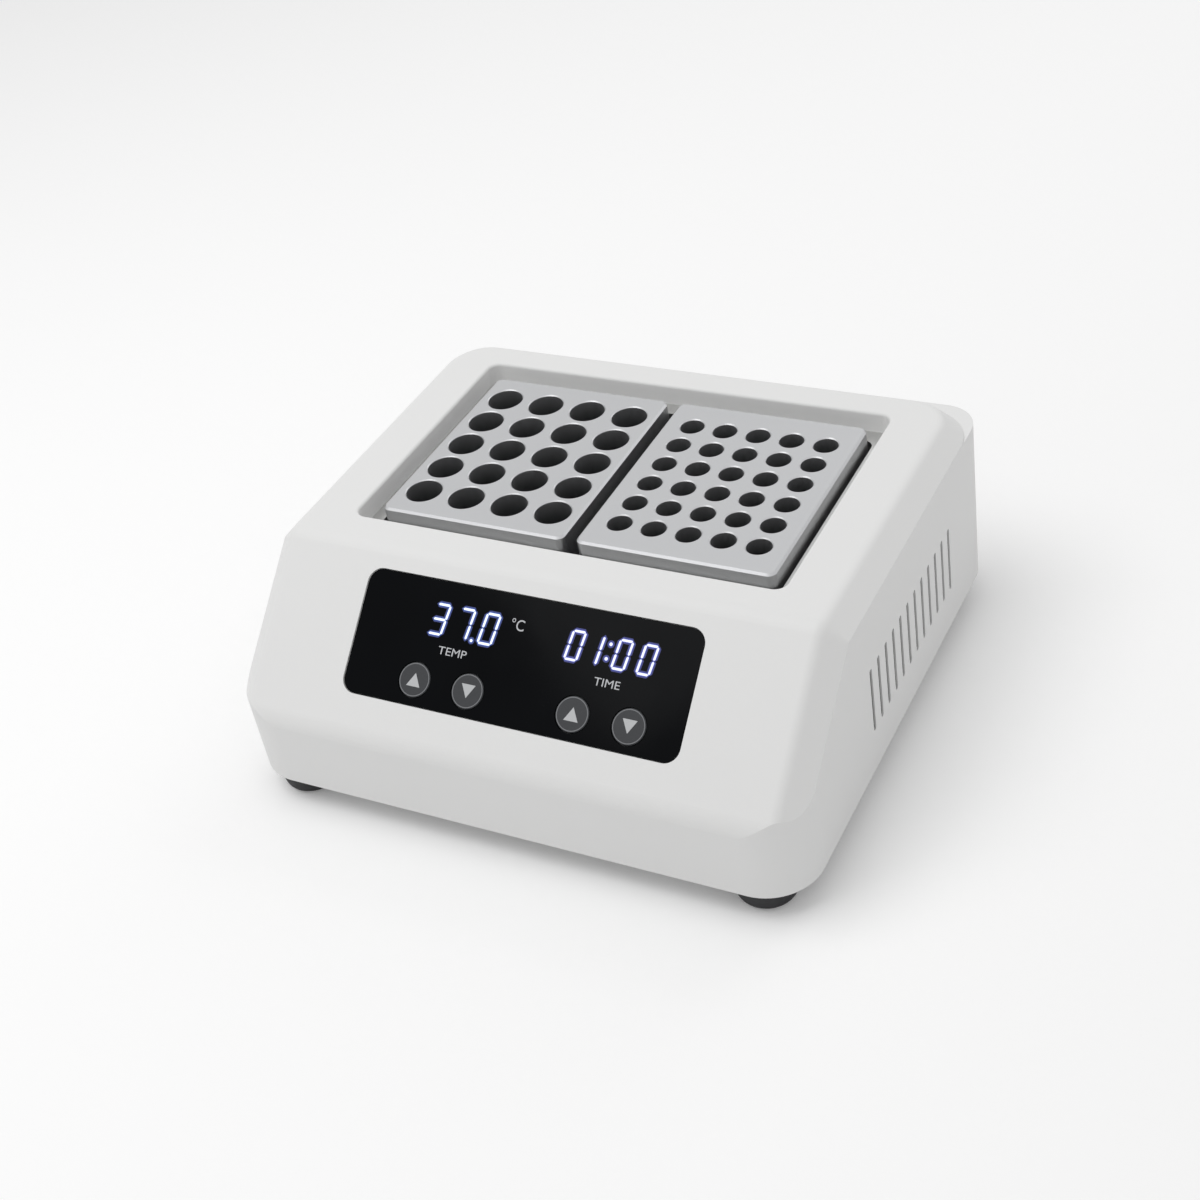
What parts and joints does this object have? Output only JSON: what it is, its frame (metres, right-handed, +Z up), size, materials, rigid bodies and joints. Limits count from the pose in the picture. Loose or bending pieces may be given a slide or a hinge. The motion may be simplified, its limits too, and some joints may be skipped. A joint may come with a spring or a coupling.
{
  "type": "dry bath incubator",
  "caption": "Dry bath incubator: white moulded housing, sloped glossy control panel with lit displays and round keys, and drilled aluminium heating blocks that lift out of a heated well.",
  "frame": {"origin": "on the bench, under the middle of the whole outline", "axes": "+X to the right and -Y to the front as the control panel is read, +Z up"},
  "size_m": [0.226, 0.204, 0.088],
  "materials": {
    "housing_plastic": "fine satin moulded surface",
    "base_plastic": "moulded, matt",
    "foot_rubber": "moulded, matt",
    "screw_steel": "zinc plated",
    "panel_gloss": "smooth and glossy",
    "key_plastic": "satin",
    "board_laminate": "lacquered laminate",
    "display_plastic": "smooth",
    "block_aluminium": "bead-blasted and clear anodised",
    "liner_metal": "plain sheet",
    "plate_aluminium": "milled",
    "mat_silicone": "woven texture",
    "insulation_foam": "open, matt",
    "sensor_metal": "turned",
    "cutout_metal": "pressed",
    "inlet_plastic": "moulded",
    "pin_metal": "nickel-bright",
    "fuse_glass": "clear",
    "rocker_plastic": "satin gloss",
    "transformer_iron": "laminated, lacquered",
    "capacitor_sleeve": "shrunk sleeve",
    "sink_aluminium": "black anodised"
  },
  "bodies": {
    "frame": {"top_cover": "housing_plastic", "base_plate": "base_plastic", "foot_front_left": "foot_rubber", "foot_front_right": "foot_rubber", "foot_rear_left": "foot_rubber", "foot_rear_right": "foot_rubber", "foot_screws": "screw_steel", "control_panel": "panel_gloss", "control_board": "board_laminate", "control_board_screws": "screw_steel", "temp_display": "display_plastic", "time_display": "display_plastic", "key_switches": "display_plastic", "well_liner": "liner_metal", "liner_screws": "screw_steel", "heater_plate": "plate_aluminium", "heating_mat": "mat_silicone", "clamp_plate": "liner_metal", "clamp_screws": "screw_steel", "insulation_collar": "insulation_foam", "insulation_board": "insulation_foam", "temperature_sensor": "sensor_metal", "thermal_cutout": "cutout_metal", "power_board": "board_laminate", "power_board_screws": "screw_steel", "transformer": "transformer_iron", "capacitors": "capacitor_sleeve", "heat_sink": "sink_aluminium", "power_inlet": "inlet_plastic", "inlet_pins": "pin_metal", "switch_frame": "inlet_plastic"},
    "left_block": {"left_block": "block_aluminium"},
    "right_block": {"right_block": "block_aluminium"},
    "temp_up_key": {"temp_up_key": "key_plastic"},
    "temp_down_key": {"temp_down_key": "key_plastic"},
    "time_up_key": {"time_up_key": "key_plastic"},
    "time_down_key": {"time_down_key": "key_plastic"},
    "power_rocker": {"power_rocker": "rocker_plastic"},
    "fuse_drawer": {"fuse_drawer": "inlet_plastic", "fuse": "fuse_glass"}
  },
  "joints": [
    {"name": "temp_up_press", "type": "slide", "parent": "frame", "child": "temp_up_key", "axis": [0, 0.6553, -0.7554], "range_m": [0, 0.0008], "stiffness_N_per_m": 1500},
    {"name": "temp_down_press", "type": "slide", "parent": "frame", "child": "temp_down_key", "axis": [0, 0.6553, -0.7554], "range_m": [0, 0.0008], "stiffness_N_per_m": 1500},
    {"name": "time_up_press", "type": "slide", "parent": "frame", "child": "time_up_key", "axis": [0, 0.6553, -0.7554], "range_m": [0, 0.0008], "stiffness_N_per_m": 1500},
    {"name": "time_down_press", "type": "slide", "parent": "frame", "child": "time_down_key", "axis": [0, 0.6553, -0.7554], "range_m": [0, 0.0008], "stiffness_N_per_m": 1500},
    {"name": "power_rocker_tip", "type": "hinge", "parent": "frame", "child": "power_rocker", "pos_m": [-0.07, 0.0973, 0.045], "axis": [1, 0, 0], "range_deg": [0, 18]},
    {"name": "left_block_lift", "type": "slide", "parent": "frame", "child": "left_block", "axis": [0, 0, 1], "range_m": [0, 0.06]},
    {"name": "right_block_lift", "type": "slide", "parent": "frame", "child": "right_block", "axis": [0, 0, 1], "range_m": [0, 0.06]},
    {"name": "fuse_drawer_slide", "type": "slide", "parent": "frame", "child": "fuse_drawer", "axis": [0, 1, 0], "range_m": [0, 0.015]}
  ]
}
